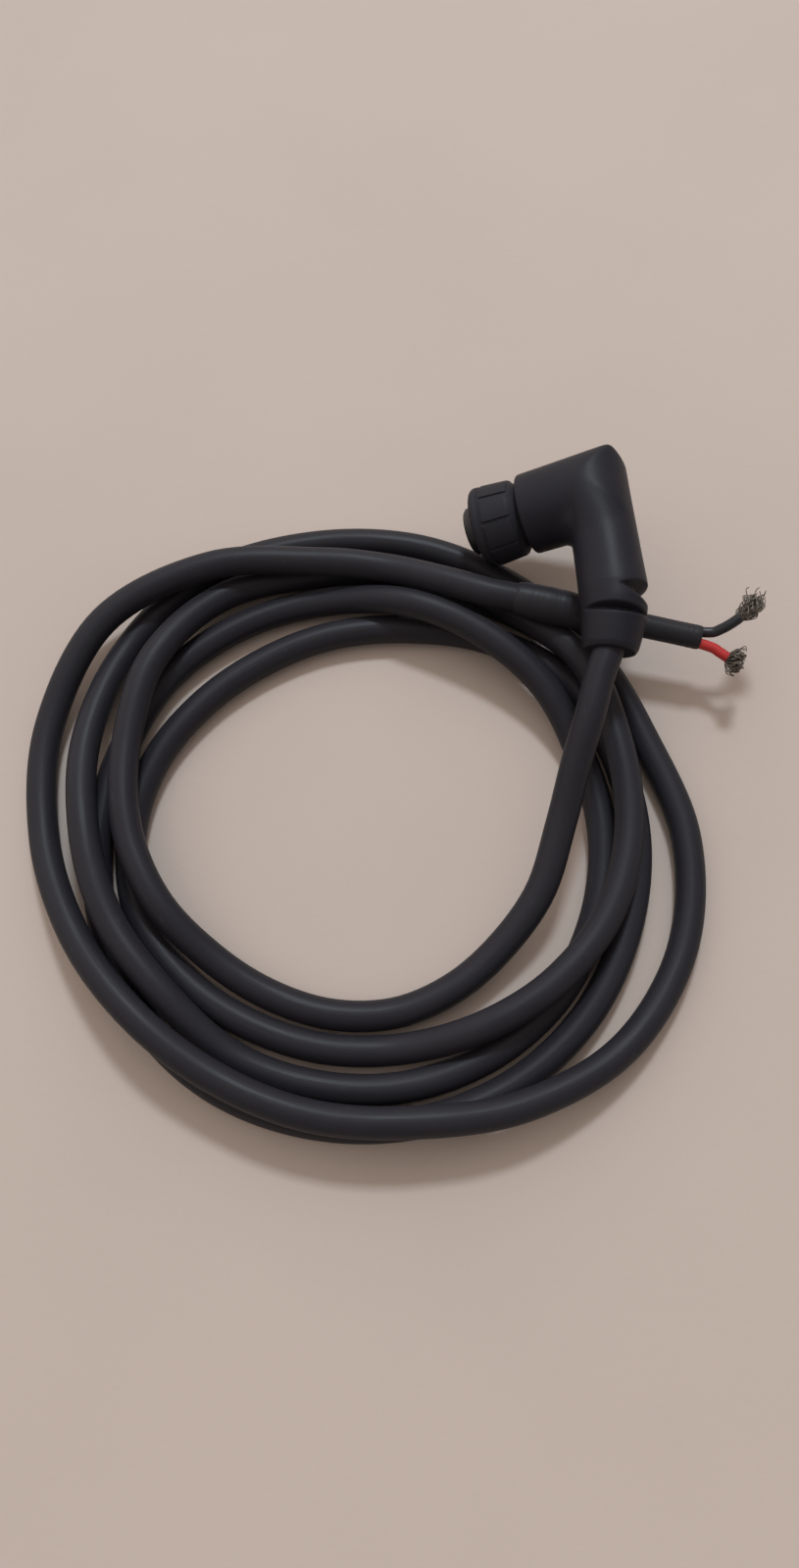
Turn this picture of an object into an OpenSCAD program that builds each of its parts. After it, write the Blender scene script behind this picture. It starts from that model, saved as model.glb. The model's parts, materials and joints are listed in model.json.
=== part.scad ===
// Right-angle instrument cable: a moulded elbow plug with a coupling nut, five loose
// turns of round two-core cable, and a far end with two bare-ended leads.
// The coil lies on z = 0, and the elbow rests on top of it.

/* [Cable] */
// Outer diameter of the cable jacket
cable_d = 7.5; // [6.5:0.1:7.8]
// Outer diameter of each insulated core
core_d = 2.7; // [2.2:0.1:2.7]
// Diameter of each core's bare stranded conductor
conductor_d = 1.6; // [1.2:0.1:1.9]
// Distance of each core from the middle of the plug
core_offset = 1.9; // [1.9:0.05:2]

/* [Elbow body] */
// Diameter of the arm that carries the coupling nut, at its face
nut_arm_d = 20.8; // [20:0.1:22]
// How much thicker that arm is at the corner
nut_arm_draft = 1; // [0:0.1:1.4]
// Length of that arm, from the corner to its face
nut_arm_len = 18.9; // [18:0.1:20]
// Diameter of the arm that the cable leaves by, at its end
cable_arm_d = 16.9; // [16:0.1:17.4]
// How much thinner that arm is at the corner
arm_draft = 0.8; // [0:0.1:1.2]
// Radius of the elbow's outer corner
corner_r = 5; // [3:0.5:6]
// Radius of the elbow's inner corner
throat_r = 5; // [3:0.5:6]
// Chamfer of the arm's face
face_chamfer = 0.5; // [0.3:0.1:1]

/* [Strain relief] */
// Distance from the corner to the first slot's root
first_slot_at = 30.4; // [29.5:0.1:31]
// Distance from the corner to the second slot's root
second_slot_at = 35.4; // [35:0.1:36.5]
// How far the first slot spreads to each side of its root
first_slot_spread = 2.4; // [1.5:0.1:2.6]
// How far the second slot spreads to each side of its root
second_slot_spread = 1.5; // [1:0.1:1.8]
// Distance of each slot's root from the cable's axis, where the slot is deepest
slot_root = 5; // [4.6:0.1:5.6]
// How far the middle of a slot's round root lies beyond the cable's axis
slot_shift = 5.3; // [4:0.1:6]
// Diameter of the collar past the slots
collar_d = 14.8; // [14:0.1:15.2]
// Length of the bent stretch
bend_len = 14.5; // [13.5:0.5:16]
// Angle that the relief is bent through
bend_angle = 27; // [20:1:30]

/* [Coupling nut] */
// Outer diameter of the nut, at its front
nut_d = 21.4; // [20.8:0.1:22]
// How much thinner the nut is at its back
nut_draft = 1.6; // [0:0.1:1.8]
// Length of the nut
nut_len = 12.2; // [11.5:0.1:14]
// Wall of the nut, at its back
nut_wall = 1.1; // [1:0.1:1.4]
// Number of grip panels
nut_panels = 9; // [6:1:14]
// Depth of the line between two panels
panel_line = 0.5; // [0.3:0.1:0.8]
// Length of the smooth rim in front of the panels
rim_len = 2.4; // [1.5:0.1:3]
// Clearance behind and in front of the nut's inner lip
nut_play = 0.4; // [0.3:0.05:0.5]

/* [Plug face] */
// How far the ring that holds the nut stands out of the shell's neck
ring_out = 1; // [0.8:0.1:1.2]
// Diameter of the shell's nose
nose_d = 12.4; // [11.8:0.1:12.8]
// Diameter of the insert that holds the contacts
insert_d = 9.6; // [9:0.1:10]
// How far the nose stands out of the nut
nose_out = 2.9; // [1:0.1:3.2]
// Diameter of the pin that each contact takes
pin_d = 1.6; // [1.4:0.1:1.7]
// Depth of each contact's socket
socket_depth = 8.2; // [7:0.1:9]
// Wall of each contact
contact_wall = 0.4; // [0.35:0.05:0.45]

/* [Far end] */
// Outer diameter of the end boot
boot_d = 9.5; // [8.7:0.1:9.8]
// Length of the end boot
boot_len = 27; // [24:0.5:28]
// Outer diameter of the sleeve over the two cores
sleeve_d = 6.3; // [6.2:0.1:6.8]
// Bore of that sleeve
sleeve_bore_d = 5.7; // [5.7:0.05:5.8]
// Distance from the boot's mouth to the sleeve's end
sleeve_end = 48; // [46:0.5:50]
// Distance from the boot's mouth to the jacket's end
jacket_end = 17; // [14:0.5:18]
// Number of strands drawn in each bare end
strand_count = 9; // [5:1:12]
// Thickness of a drawn strand
strand_d = 0.5; // [0.3:0.05:0.6]

/* [Hidden] */
$fn = 72;
fit = 0.05;
skin = 0.01;
far = 60;

// Middle of the coil, on the ground
coil_middle = [-8, -11, 0];
// Place of the elbow's corner, and its turns about x, y and z
elbow_at = coil_middle + [58.5, 84, 28];
elbow_turn = [-4, -24, 6];
// Sides that the relief bends to and that its slots open to, counted about its axis
bend_roll = 183;
first_slot_side = -18;
second_slot_side = 64;
bend_start = 30;
bend_r = bend_len / bend_angle * 180 / PI;

// Place of the boot's mouth, its dip and its heading
tail_at = coil_middle + [38, 60.2, 16.5];
tail_dip = 2;
tail_heading = -12.5;

// The nut's cone and bore, and the neck that it turns on
nut_r = nut_d / 2;
nut_back_r = nut_r - nut_draft / 2;
nut_bore_r = nut_back_r - nut_wall;
ring_clearance = 0.2;
ring_depth = 0.6;
neck_d = 2 * (nut_bore_r - ring_clearance - ring_out);
panel_turn = -9;
seal_clearance = 0.4;
seal_r = (nut_bore_r - nose_d / 2) / 2 - seal_clearance;

// Stations along the nut arm, counted from the corner
nut_at = nut_arm_len + nut_play;
lip_len = 1.3;
lip_clearance = 0.1;
ring_at = nut_at + lip_len + nut_play;
ring_len = 1.2;
flange_end = ring_at + ring_len + 1.1;
nut_end = nut_at + nut_len;
nose_end = nut_end + nose_out;
carrier_at = 13.5;
crimp_at = 8.5;
core_bend_r = 5;
inner_mould_at = 6.5;
inner_mould_d = neck_d - 2;
contact_d = pin_d + 2 * contact_wall;
contact_end = nose_end - 1.1;
crimp_d = contact_d + 0.7;
crimp_depth = 4;

// Stations along the cable arm
jacket_at = 14;
core_in_jacket = 10;
jacket_gap = 0.5;
shoulder_at = 28.5;
relief_end = bend_start + bend_len;

// Cord routes. Height of a strand's middle when it lies on the ground: its underside is
// cut flat a tenth of its diameter deep.
lay_h = cable_d * 0.4;
station = 20;
// Reach of each turn from the coil's middle, every 20 degrees, clockwise from the x axis
REACH = [
    [47.3, 45, 43.2, 43.3, 44.1, 44.5, 45.2, 47.7, 52.8, 58, 63.5, 70.8, 76, 74.8, 73.8, 71.8, 71.4, 66.8],
    [64.5, 62, 58.5, 55.2, 52.8, 52.7, 53.6, 56, 58.5, 58.5, 57.5, 55.8, 55.2, 56.4, 58.5, 63, 67.2, 67.2],
    [67.5, 68, 69.1, 69.8, 70, 70, 70.1, 69.2, 67.5, 66.8, 66.5, 67.8, 67.3, 66, 62.3, 60.5, 60, 58.8],
    [59.2, 59.7, 60.8, 61.3, 61.5, 61.5, 62, 61.8, 64.8, 68.5, 75, 81.5, 85, 84, 82.8, 80, 77.5, 76],
    [80, 82, 80.5, 75.5, 70.5, 69, 68.5, 70, 74, 80, 86.5, 89, 82.5, 74]
];
// Height of each turn above a strand that lies on the ground, at the same places
LIFT = [
    [12, 7, 3, 1, 0, 0, 0, 2, 7, 8.3, 8.3, 8.5, 2.8, 0, 0, 3, 7.8, 8.5],
    [8, 8, 8, 6.2, 0.5, 0, 0, 0, 0, 0, 0, 0, 0, 0, 0, 0, 0, 0],
    [0, 0, 0, 0, 0, 0, 0, 0, 0, 0, 0, 0, 0, 1, 8, 8, 5, 0],
    [0, 0, 0, 0, 0, 0, 1.2, 7, 8.3, 8.6, 4.6, 0, 0, 0, 0, 0, 0, 0],
    [0, 0, 2, 6.5, 8.5, 8.5, 8.5, 9.5, 5.6, 1, 1, 6.3, 9, 8.8]
];
coil_route = [for (t = [0:len(REACH) - 1]) for (s = [0:len(REACH[t]) - 1])
    coil_middle + [REACH[t][s] * cos(station * s), -REACH[t][s] * sin(station * s), lay_h + LIFT[t][s]]];
// Free stretches: from the relief down to the coil, and from the coil up to the boot
lead_in_points = [[54, 24, 26.2], [50.8, 13.5, 21.8]];
run_out_points = [[5, 71, 12.6], [20.5, 65.7, 15.4]];
// Bare leads beyond the sleeve
red_points = [[87.5, 47.3, 14.4], [89.6, 45.8, 14.2], [91.5, 43.9, 14]];
black_points = [[87.6, 50.4, 15.2], [91, 51.9, 17.2], [94.4, 53.5, 18.5]];
core_side = core_d / 2 + 0.1;
lead_in_jacket = 5;
lead_straight = 8;
lead_gap = 1;
red_tip = [97, 40, 14];
black_tip = [100.5, 60, 20];

function unit(v) = v / norm(v);
function about_x(v, a) = [v.x, v.y * cos(a) - v.z * sin(a), v.y * sin(a) + v.z * cos(a)];
function about_y(v, a) = [v.x * cos(a) + v.z * sin(a), v.y, v.z * cos(a) - v.x * sin(a)];
function about_z(v, a) = [v.x * cos(a) - v.y * sin(a), v.x * sin(a) + v.y * cos(a), v.z];
function turned(v, a) = about_z(about_y(about_x(v, a.x), a.y), a.z);

// The relief's axis where it has turned by a: its place, and the way that it runs
bend_side = [cos(bend_roll), 0, sin(bend_roll)];
function bend_place(a) = elbow_at
    + turned(bend_side * bend_r * (1 - cos(a)) - [0, bend_start + bend_r * sin(a), 0], elbow_turn);
exit_way = turned(bend_side * sin(bend_angle) - [0, cos(bend_angle), 0], elbow_turn);
// A point of the far end, from its distance past the boot's mouth and its offset
function on_tail(s, side) = tail_at + turned([s, side, 0], [0, tail_dip, tail_heading]);
tail_way = unit(on_tail(1, 0) - tail_at);

// One smooth route through both free stretches and the coil, straight at both ends
straight_in = [
    bend_place(0), bend_place(bend_angle / 2), bend_place(bend_angle), bend_place(bend_angle) + exit_way * cable_d
];
straight_out = [tail_at - tail_way * cable_d, tail_at];
lead_in = [for (p = lead_in_points) coil_middle + p];
run_out = [for (p = run_out_points) coil_middle + p];
route = concat(straight_in, lead_in, coil_route, run_out, straight_out);
coil_from = len(straight_in) + len(lead_in_points);
coil_to = coil_from + len(coil_route) - 1;
route_to = len(route) - 1;
rings_a_turn = 24;
coil_rings = round((coil_to - coil_from) * station / 360 * rings_a_turn);

// Catmull-Rom curve through the points p: its place and its heading at u
function before(p, i) = i > 0 ? p[i - 1] : 2 * p[0] - p[1];
function after(p, i) = i + 2 < len(p) ? p[i + 2] : 2 * p[i + 1] - p[i];
function low(p, u) = min(floor(u), len(p) - 2);
function place(p, u) = let (i = low(p, u), f = u - i, a = before(p, i), d = after(p, i))
    (2 * p[i] + (p[i + 1] - a) * f + (2 * a - 5 * p[i] + 4 * p[i + 1] - d) * f * f
    + (3 * p[i] - 3 * p[i + 1] + d - a) * f * f * f) / 2;
function heading(p, u) = let (i = low(p, u), f = u - i, a = before(p, i), d = after(p, i))
    unit((p[i + 1] - a) + (2 * a - 5 * p[i] + 4 * p[i + 1] - d) * 2 * f
    + (3 * p[i] - 3 * p[i + 1] + d - a) * 3 * f * f);
function ring(p, u, r, sides) = let (w = heading(p, u), s = unit(cross(w, [0, 0, 1])), t = cross(s, w))
    [for (k = [0:sides - 1]) place(p, u) + r * (cos(90 + 360 * k / sides) * s + sin(90 + 360 * k / sides) * t)];

// A tube of n rings more than one, from u0 to u1 along the route p
module tube(p, u0, u1, n, r, sides) {
    points = [for (j = [0:n]) each ring(p, u0 + (u1 - u0) * j / n, r, sides)];
    walls = [for (j = [0:n - 1]) for (k = [0:sides - 1])
        let (a = j * sides + k, b = j * sides + (k + 1) % sides)
        each [[a, a + sides, b], [b, a + sides, b + sides]]];
    ends = [for (k = [1:sides - 2]) each [[0, k, k + 1], [n * sides, n * sides + k + 1, n * sides + k]]];
    polyhedron(points, concat(walls, ends));
}

// Least gap between the coil's surface and itself, beyond a stretch of its own
spans_apart = 3;
points_a_span = 6;
route_points = [for (k = [0:route_to * points_a_span]) place(route, k / points_a_span)];
least_gap = min([for (i = [0:len(route_points) - 1])
    for (j = [i + spans_apart * points_a_span:1:len(route_points) - 1])
    norm(route_points[i] - route_points[j])]) - cable_d;
echo(least_gap = least_gap);

// Frames: the nut arm's axis and the cable arm's axis point along z in their own frames
module at_elbow() {
    translate(elbow_at) rotate(elbow_turn) children();
}
module along_nut_arm() {
    at_elbow() rotate([0, -90, 0]) children();
}
module along_cable_arm() {
    at_elbow() rotate([90, 0, 0]) children();
}
// A place on the relief's axis, s from the corner, past the start of the bend or not
module on_relief(s) {
    a = max(0, s - bend_start) / bend_len * bend_angle;
    rotate([0, 0, bend_roll]) translate([bend_r, 0, bend_start]) rotate([0, a, 0])
        translate([-bend_r, 0, min(0, s - bend_start)]) rotate([0, 0, -bend_roll]) children();
}
// The bent stretch of the relief, or of its bore, over_run degrees longer at each end
module bent(r, over_run) {
    rotate([0, 0, bend_roll]) translate([bend_r, 0, bend_start]) rotate([90, 0, 180]) rotate([0, 0, -over_run])
        rotate_extrude(angle = bend_angle + 2 * over_run) translate([bend_r, 0]) circle(r);
}
module on_far_end() {
    translate(tail_at) rotate([0, 90 + tail_dip, tail_heading]) children();
}

// Outside of the elbow
module elbow_outside() {
    arm_r = cable_arm_d / 2;
    thin_r = arm_r - arm_draft / 2;
    corner_at = nut_arm_d / 2 + nut_arm_draft / 2;
    intersection() {
        along_nut_arm() rotate_extrude() polygon([
            [0, -thin_r], [corner_at, -thin_r], [nut_arm_d / 2, nut_arm_len - face_chamfer],
            [nut_arm_d / 2 - face_chamfer, nut_arm_len], [0, nut_arm_len]
        ]);
        at_elbow() rotate([90, 0, 0]) translate([0, 0, -far / 2]) linear_extrude(far) {
            translate([thin_r - corner_at, 0]) circle(corner_at);
            translate([-far, -corner_at]) square([far + thin_r - corner_at, 2 * corner_at]);
        }
        at_elbow() translate([0, 0, -far / 2]) linear_extrude(far) corner_outline(thin_r, corner_at);
    }
    along_cable_arm() {
        cylinder(r1 = thin_r, r2 = arm_r, h = shoulder_at);
        translate([0, 0, shoulder_at]) cylinder(r1 = arm_r, r2 = collar_d / 2 + 0.1, h = 2);
        intersection() {
            cylinder(r1 = corner_at, r2 = thin_r, h = corner_at);
            translate([-thin_r, -corner_at, 0]) cube([2 * thin_r, 2 * corner_at, corner_at]);
        }
    }
    at_elbow() translate([-thin_r - throat_r, -nut_arm_d / 2 - throat_r, 0])
        rotate_extrude(angle = 90) translate([thin_r + throat_r, 0]) circle(thin_r);
}
// Flat outline of both arms, rounded at the outer corner
module corner_outline(x, y) {
    translate([-far, -far]) square([far + x - corner_r, far + y]);
    translate([-far, -far]) square([far + x, far + y - corner_r]);
    translate([x - corner_r, y - corner_r]) circle(corner_r);
}
// A slot across one side of the relief: a ring of a valley, off the relief's axis, s from the corner
module slot_cut(s, side, spread) {
    root_r = slot_root + slot_shift;
    out = cable_arm_d / 2 + 1 - slot_root;
    slope = spread / (cable_arm_d / 2 - slot_root);
    along_cable_arm() on_relief(s) rotate([0, 0, side]) translate([-slot_shift, 0, 0])
        rotate_extrude() polygon([[root_r, 0], [root_r + out, slope * out], [root_r + out, -slope * out]]);
}
// The path of both cores through the plug, as holes or as the cores themselves
module core_path(r, from_jacket) {
    along_nut_arm() translate([0, 0, core_bend_r]) cylinder(r = r, h = crimp_at - core_bend_r);
    at_elbow() translate([-core_bend_r, -core_bend_r, 0])
        rotate_extrude(angle = 90) translate([core_bend_r, 0]) circle(r);
    along_cable_arm() translate([0, 0, core_bend_r]) cylinder(r = r, h = from_jacket - core_bend_r);
}
// Moves a core or a contact to its own side of the plug
module to_side(side) {
    translate(turned([0, 0, side * core_offset], elbow_turn)) children();
}

module overmould() color("#1d1d20") difference() {
    union() {
        elbow_outside();
        along_cable_arm() bent(collar_d / 2, 0);
    }
    slot_cut(first_slot_at, first_slot_side, first_slot_spread);
    slot_cut(second_slot_at, second_slot_side, second_slot_spread);
    along_nut_arm() {
        translate([0, 0, inner_mould_at - fit])
            cylinder(d = inner_mould_d + 2 * fit, h = carrier_at - inner_mould_at + fit);
        translate([0, 0, carrier_at - fit]) cylinder(d = neck_d + 2 * fit, h = nut_arm_len - carrier_at + far);
    }
    for (side = [-1, 1]) to_side(side) core_path(core_d / 2 + fit, jacket_at);
    along_cable_arm() {
        translate([0, 0, jacket_at - fit]) cylinder(d = cable_d + 2 * fit, h = bend_start - jacket_at + fit);
        bent(cable_d / 2 + 2 * fit, 2);
    }
}
module inner_mould() color("#3a3a3c") difference() {
    along_nut_arm() translate([0, 0, inner_mould_at])
        cylinder(d = inner_mould_d, h = carrier_at - inner_mould_at - fit);
    for (side = [-1, 1]) to_side(side) {
        core_path(core_d / 2 + fit, jacket_at);
        along_nut_arm() translate([0, 0, crimp_at - fit]) cylinder(d = crimp_d + 2 * fit, h = far);
    }
}
module plug_shell() color("#26262a") along_nut_arm() difference() {
    rim = 0.6;
    union() {
        translate([0, 0, carrier_at]) cylinder(d = neck_d, h = flange_end - carrier_at);
        translate([0, 0, flange_end]) cylinder(d = nose_d, h = nose_end - flange_end - rim);
        translate([0, 0, nose_end - rim]) cylinder(d1 = nose_d, d2 = nose_d - 2 * rim, h = rim);
    }
    translate([0, 0, ring_at]) difference() {
        cylinder(d = neck_d + 2 * ring_out, h = ring_len);
        translate([0, 0, -skin]) cylinder(d = neck_d - 2 * ring_depth, h = ring_len + 2 * skin);
    }
    translate([0, 0, carrier_at - skin]) cylinder(d = insert_d + 2 * fit, h = far);
    translate([-nose_d / 2 - 1, -0.9, flange_end + 3]) cube([2, 1.8, far]);
}
module contact_carrier() color("#26262a") difference() {
    along_nut_arm() translate([0, 0, carrier_at]) cylinder(d = insert_d, h = nose_end - 0.8 - carrier_at);
    for (side = [-1, 1]) to_side(side) along_nut_arm() {
        cylinder(d = contact_d + 2 * fit, h = contact_end + fit);
        cylinder(d = pin_d + 0.5, h = far);
    }
}
module face_seal() color("#7c3b2c") along_nut_arm() translate([0, 0, flange_end + seal_r + fit])
    rotate_extrude() translate([nose_d / 2 + seal_r + fit, 0]) circle(seal_r);
module retaining_ring() color("#9a9a9c") along_nut_arm() translate([0, 0, ring_at + fit]) difference() {
    cylinder(d = neck_d + 2 * ring_out, h = ring_len - 2 * fit);
    translate([0, 0, -skin]) cylinder(d = neck_d - 2 * ring_depth + 2 * fit, h = ring_len);
    translate([0, -0.8, -skin]) cube([neck_d, 1.6, ring_len]);
}
module coupling_nut() color("#222124") along_nut_arm() translate([0, 0, nut_at]) difference() {
    back = 1.3;
    back_slope = 1.7;
    front = 1.2;
    rim_at = nut_len - rim_len;
    line_at = back + 0.3;
    groove_w = 0.5;
    lean = atan((nut_r - nut_back_r) / (nut_len - back - front));
    union() {
        cylinder(r1 = nut_back_r - back_slope, r2 = nut_back_r, h = back);
        translate([0, 0, back]) cylinder(r1 = nut_back_r, r2 = nut_r, h = nut_len - back - front);
        translate([0, 0, nut_len - front]) cylinder(r1 = nut_r, r2 = nut_r - 0.7, h = front);
    }
    for (k = [0:nut_panels - 1]) rotate([0, 0, 360 / nut_panels * (k + 0.5) + panel_turn])
        translate([nut_back_r - panel_line, -0.3, line_at]) rotate([0, lean, 0])
        cube([far, 0.6, rim_at + groove_w / 2 - line_at]);
    translate([0, 0, rim_at]) rotate_extrude() translate([nut_r - 0.6, 0]) square([1, groove_w]);
    translate([0, 0, -1]) cylinder(r = neck_d / 2 + lip_clearance, h = far);
    translate([0, 0, lip_len]) cylinder(r = nut_bore_r, h = far);
}
module contact(side) to_side(side) along_nut_arm() difference() {
    union() {
        translate([0, 0, crimp_at]) cylinder(d = crimp_d, h = carrier_at - crimp_at - 2 * fit);
        translate([0, 0, crimp_at]) cylinder(d = contact_d, h = contact_end - crimp_at);
    }
    translate([0, 0, contact_end - socket_depth]) cylinder(d = pin_d + 0.1, h = far);
    cylinder(d = conductor_d + 2 * fit, h = crimp_at + crimp_depth);
}
module red_contact() color("#c9a64a") contact(1);
module black_contact() color("#c9a64a") contact(-1);
module core(side) to_side(side) {
    core_path(core_d / 2, jacket_at + core_in_jacket);
    along_nut_arm() translate([0, 0, crimp_at - skin]) cylinder(d = conductor_d, h = crimp_depth - 0.3);
}
module red_core() color("#c43a34") core(1);
module black_core() color("#17171a") core(-1);
module cable_in_mould() color("#232529") difference() {
    along_cable_arm() translate([0, 0, jacket_at]) cylinder(d = cable_d, h = bend_start - jacket_gap - jacket_at);
    for (side = [-1, 1]) to_side(side) along_cable_arm()
        cylinder(d = core_d + 2 * fit, h = jacket_at + core_in_jacket + fit);
}

module cable_lead_in() color("#232529") tube(route, 0, coil_from, 2 * coil_from, cable_d / 2, 8);
// The coil is cut flat where its strands lie on the ground
module cable_coil() color("#232529") difference() {
    tube(route, coil_from, coil_to, coil_rings, cable_d / 2, 6);
    translate([-2 * far, -2 * far, -far]) cube([4 * far, 4 * far, far]);
}
module cable_run_out() color("#232529")
    tube(route, coil_to, route_to, 2 * (route_to - coil_to), cable_d / 2, 8);
module cable_in_boot() color("#232529") on_far_end() difference() {
    cylinder(d = cable_d, h = jacket_end);
    for (side = [-1, 1]) translate([0, side * core_side, jacket_end - lead_in_jacket - fit])
        cylinder(d = core_d + 2 * fit, h = far);
}
module end_boot() color("#1f2127") on_far_end() difference() {
    mouth = 2.5;
    neck = 3;
    union() {
        cylinder(d1 = boot_d - 0.9, d2 = boot_d, h = mouth);
        translate([0, 0, mouth]) cylinder(d = boot_d, h = jacket_end);
        translate([0, 0, jacket_end + mouth]) cylinder(d1 = boot_d, d2 = sleeve_d + 1, h = neck);
        translate([0, 0, jacket_end + mouth + neck])
            cylinder(d = sleeve_d + 1, h = boot_len - jacket_end - mouth - neck);
    }
    translate([0, 0, -skin]) cylinder(d = cable_d + 2 * fit, h = jacket_end + fit + skin);
    cylinder(d = sleeve_d + 2 * fit, h = far);
}
module tail_sleeve() color("#1f2127") on_far_end() translate([0, 0, jacket_end + jacket_gap]) difference() {
    cylinder(d = sleeve_d, h = sleeve_end - jacket_end - jacket_gap);
    translate([0, 0, -skin]) cylinder(d = sleeve_bore_d, h = far);
}
// Each lead runs from inside the jacket, through the sleeve, to its bare end
function lead_route(side, points) = concat(
    [for (s = [jacket_end - lead_in_jacket, jacket_end + lead_straight]) on_tail(s, side * core_side)],
    [for (s = [sleeve_end - lead_straight, sleeve_end - lead_gap]) on_tail(s, side * core_side)],
    [for (p = points) coil_middle + p]);
red_route = lead_route(-1, red_points);
black_route = lead_route(1, black_points);
module lead(p) tube(p, 0, len(p) - 1, 2 * (len(p) - 1), core_d / 2, 8);
module red_lead() color("#c43a34") lead(red_route);
module black_lead() color("#17171a") lead(black_route);
// A bare end: a short twisted core that opens into splayed strands
module strands(p, tip) {
    end = p[len(p) - 1];
    way = tip - end;
    turn = atan2(way.y, way.x);
    lean = acos(way.z / norm(way));
    reach = norm(way);
    core_len = reach * 0.45;
    out = heading(p, len(p) - 1);
    stand_off = conductor_d / 2 * norm(cross(way, out)) / reach + skin;
    translate(end + out * stand_off) rotate([0, lean, turn]) {
        cylinder(d = conductor_d, h = core_len);
        for (k = [0:strand_count - 1]) rotate([0, 0, 360 / strand_count * k])
            translate([conductor_d / 4, 0, core_len * 0.4]) rotate([0, 6 + 5 * (k % 3), 0])
            cylinder(d = strand_d, h = reach * (0.6 - 0.06 * (k % 4)), $fn = 24);
    }
}
module red_strands() color("#8c8478") strands(red_route, coil_middle + red_tip);
module black_strands() color("#8c8478") strands(black_route, coil_middle + black_tip);

overmould();
inner_mould();
plug_shell();
contact_carrier();
face_seal();
retaining_ring();
coupling_nut();
red_contact();
black_contact();
red_core();
black_core();
cable_in_mould();
cable_lead_in();
cable_coil();
cable_run_out();
cable_in_boot();
end_boot();
tail_sleeve();
red_lead();
black_lead();
red_strands();
black_strands();
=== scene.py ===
"""Looks of a right-angle instrument cable, laid out as an add-on.

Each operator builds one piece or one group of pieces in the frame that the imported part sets,
and the panel in the sidebar runs them in order. Lengths are in metres.
"""

import json
import math
import random

import bmesh
import bpy
from bpy.props import FloatProperty, FloatVectorProperty, IntProperty, PointerProperty
from mathutils import Euler, Matrix, Vector


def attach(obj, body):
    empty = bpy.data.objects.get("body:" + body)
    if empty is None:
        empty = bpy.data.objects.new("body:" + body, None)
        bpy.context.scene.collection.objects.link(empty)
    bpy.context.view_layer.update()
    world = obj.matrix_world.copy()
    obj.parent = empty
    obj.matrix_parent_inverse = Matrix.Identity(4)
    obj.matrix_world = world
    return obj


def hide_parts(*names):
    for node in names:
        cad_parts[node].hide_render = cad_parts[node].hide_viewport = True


bl_info = {
    "name": "Instrument Cable",
    "version": (1, 0, 0),
    "blender": (4, 5, 0),
    "location": "3D View > Sidebar > Cable",
    "description": "Builds a coiled right-angle instrument cable and its stage",
    "category": "Object",
}

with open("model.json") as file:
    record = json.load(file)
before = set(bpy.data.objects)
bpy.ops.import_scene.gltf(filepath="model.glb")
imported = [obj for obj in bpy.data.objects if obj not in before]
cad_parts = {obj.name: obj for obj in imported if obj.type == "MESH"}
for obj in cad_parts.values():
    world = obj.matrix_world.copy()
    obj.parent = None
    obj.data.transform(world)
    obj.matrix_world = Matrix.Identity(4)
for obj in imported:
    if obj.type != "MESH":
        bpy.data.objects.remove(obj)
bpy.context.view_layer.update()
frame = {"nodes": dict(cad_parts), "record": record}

# Where things are, in the part's frame
COIL_MIDDLE = Vector((-0.008, -0.011, 0.0))
ELBOW_AT = COIL_MIDDLE + Vector((0.0585, 0.084, 0.028))
ELBOW_TURN = Euler((math.radians(-4), math.radians(-24), math.radians(6)), "XYZ")
TAIL_AT = COIL_MIDDLE + Vector((0.038, 0.0602, 0.0165))
TAIL_TURN = Euler((0, math.radians(2), math.radians(-12.5)), "XYZ")

# The relief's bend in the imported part, which sets where the cable leaves it:
# its start on the cable arm, its length, its angle and the side that it leans to
BEND_START = 0.030
BEND_LEN = 0.0145
BEND_ANGLE = math.radians(27)
BEND_ROLL = math.radians(183)

# Reach of each turn of the coil from its middle, every 20 degrees, clockwise from the x axis
STATION = math.radians(20)
REACH = (
    (0.0473, 0.045, 0.0432, 0.0433, 0.0441, 0.0445, 0.0452, 0.0477, 0.0528,
     0.058, 0.0635, 0.0708, 0.076, 0.0748, 0.0738, 0.0718, 0.0714, 0.0668),
    (0.0645, 0.062, 0.0585, 0.0552, 0.0528, 0.0527, 0.0536, 0.056, 0.0585,
     0.0585, 0.0575, 0.0558, 0.0552, 0.0564, 0.0585, 0.063, 0.0672, 0.0672),
    (0.0675, 0.068, 0.0691, 0.0698, 0.07, 0.07, 0.0701, 0.0692, 0.0675,
     0.0668, 0.0665, 0.0678, 0.0673, 0.066, 0.0623, 0.0605, 0.06, 0.0588),
    (0.0592, 0.0597, 0.0608, 0.0613, 0.0615, 0.0615, 0.062, 0.0618, 0.0648,
     0.0685, 0.075, 0.0815, 0.085, 0.084, 0.0828, 0.08, 0.0775, 0.076),
    (0.08, 0.082, 0.0805, 0.0755, 0.0705, 0.069, 0.0685, 0.07, 0.074,
     0.08, 0.0865, 0.089, 0.0825, 0.074),
)
# How far each turn is lifted off the ground by the strands under it, at the same places
LIFT = (
    (0.012, 0.007, 0.003, 0.001, 0, 0, 0, 0.002, 0.007,
     0.0083, 0.0083, 0.0085, 0.0028, 0, 0, 0.003, 0.0078, 0.0085),
    (0.008, 0.008, 0.008, 0.0062, 0.0005, 0, 0, 0, 0,
     0, 0, 0, 0, 0, 0, 0, 0, 0),
    (0, 0, 0, 0, 0, 0, 0, 0, 0,
     0, 0, 0, 0, 0.001, 0.008, 0.008, 0.005, 0),
    (0, 0, 0, 0, 0, 0, 0.0012, 0.007, 0.0083,
     0.0086, 0.0046, 0, 0, 0, 0, 0, 0, 0),
    (0, 0, 0.002, 0.0065, 0.0085, 0.0085, 0.0085, 0.0095, 0.0056,
     0.001, 0.001, 0.0063, 0.009, 0.0088),
)
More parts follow.
